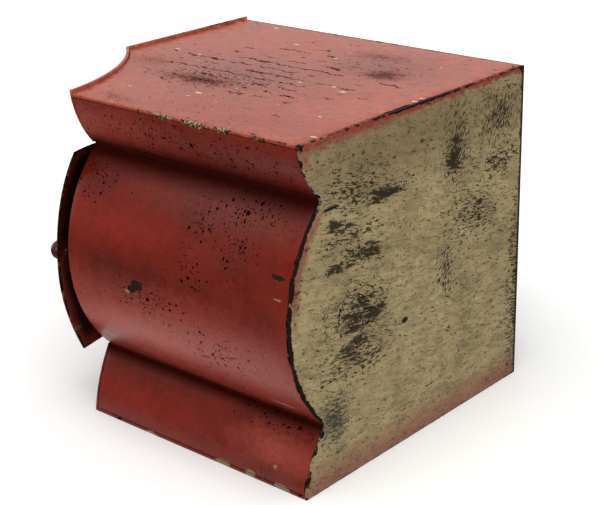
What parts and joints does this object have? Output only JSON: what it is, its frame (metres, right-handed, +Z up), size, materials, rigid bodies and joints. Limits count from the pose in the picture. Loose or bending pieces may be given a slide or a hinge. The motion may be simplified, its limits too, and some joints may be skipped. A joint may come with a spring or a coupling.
{
  "type": "magic lantern",
  "caption": "Small red tin magic lantern lying on its side, with a bowed rear panel, a hollow sloping roof, an arched vent hood, an oil lamp and a focusing lens.",
  "frame": {"origin": "middle of the outer face of the side wall that the lantern lies on, between underside and flat roof and between rear corners and lens wall", "axes": "+Z up as it lies, +Y along the optical axis towards the lens, +X out of the lantern's underside"},
  "size_m": [0.146, 0.1786, 0.1313],
  "materials": {
    "red_paint": "worn semi-gloss red paint on tinplate",
    "khaki_paint": "scuffed matt khaki primer on tinplate",
    "knob_lacquer": "dark red-brown gloss lacquer",
    "black_japan": "satin black japan",
    "brass": "aged lacquered brass",
    "tinplate": "dulled tinplate",
    "steel": "plain steel",
    "silvered": "silvered, slightly tarnished",
    "clear_glass": "polished clear glass",
    "cotton": "woven cotton wick, charred at its end"
  },
  "bodies": {
    "lamp_house": {"rear_panel": "red_paint", "left_side_wall": "red_paint", "right_side_wall": "red_paint", "lens_wall": "red_paint", "roof_plate": "red_paint", "base_plate": "khaki_paint", "stage_back_plate": "black_japan", "stage_front_plate": "black_japan", "stage_rails": "black_japan", "lens_jacket": "brass", "burner_collar": "brass", "burner": "brass", "wick_tube": "brass", "chimney_gallery": "brass", "flame_dome": "brass", "hinge_roof_leaf": "tinplate", "condenser_cell": "tinplate", "condenser_ring": "tinplate", "reflector_bracket": "tinplate", "lamp_ring": "tinplate", "oil_font": "tinplate", "hinge_pin": "steel", "hinge_roof_rivets": "steel", "stage_springs": "steel", "stage_rivets": "steel", "spring_rivets": "steel", "reflector_rivet": "steel", "reflector": "silvered", "condenser_lens": "clear_glass"},
    "hood": {"vent_hood": "red_paint", "hood_knob": "knob_lacquer", "hinge_hood_leaf": "tinplate", "hinge_hood_rivets": "steel"},
    "objective": {"focus_tube": "brass", "objective_lens": "clear_glass", "objective_ring": "brass"},
    "cap": {"lens_cap": "brass"},
    "filler": {"filler_cap": "brass"},
    "wick_drive": {"wick_spindle": "steel", "wick_knob": "brass"},
    "wick_strip": {"wick": "cotton"},
    "chimney": {"lamp_chimney": "clear_glass"}
  },
  "joints": [
    {"name": "hood_hinge", "type": "hinge", "parent": "lamp_house", "child": "hood", "pos_m": [-0.06872, -0.01277, 0.055], "axis": [0, 0, -1], "range_deg": [0, 105]},
    {"name": "focus_slide", "type": "slide", "parent": "lamp_house", "child": "objective", "axis": [0, 1, 0], "range_m": [0, 0.012]},
    {"name": "cap_pull", "type": "slide", "parent": "objective", "child": "cap", "axis": [0, 1, 0], "range_m": [0, 0.012]},
    {"name": "filler_pull", "type": "slide", "parent": "lamp_house", "child": "filler", "axis": [-1, 0, 0], "range_m": [0, 0.008]},
    {"name": "wick_turn", "type": "hinge", "parent": "lamp_house", "child": "wick_drive", "pos_m": [0.0366, -0.0003, 0.065], "axis": [0, 0, 1], "range_deg": [-40, 100]},
    {"name": "wick_lift", "type": "slide", "parent": "lamp_house", "child": "wick_strip", "axis": [-1, 0, 0], "range_m": [-0.0021, 0.00524]},
    {"name": "chimney_lift", "type": "slide", "parent": "lamp_house", "child": "chimney", "axis": [-1, 0, 0], "range_m": [0, 0.014]}
  ],
  "couplings": [
    {"joint": "wick_lift", "follows": "wick_turn", "m_per_rad": 0.003}
  ]
}
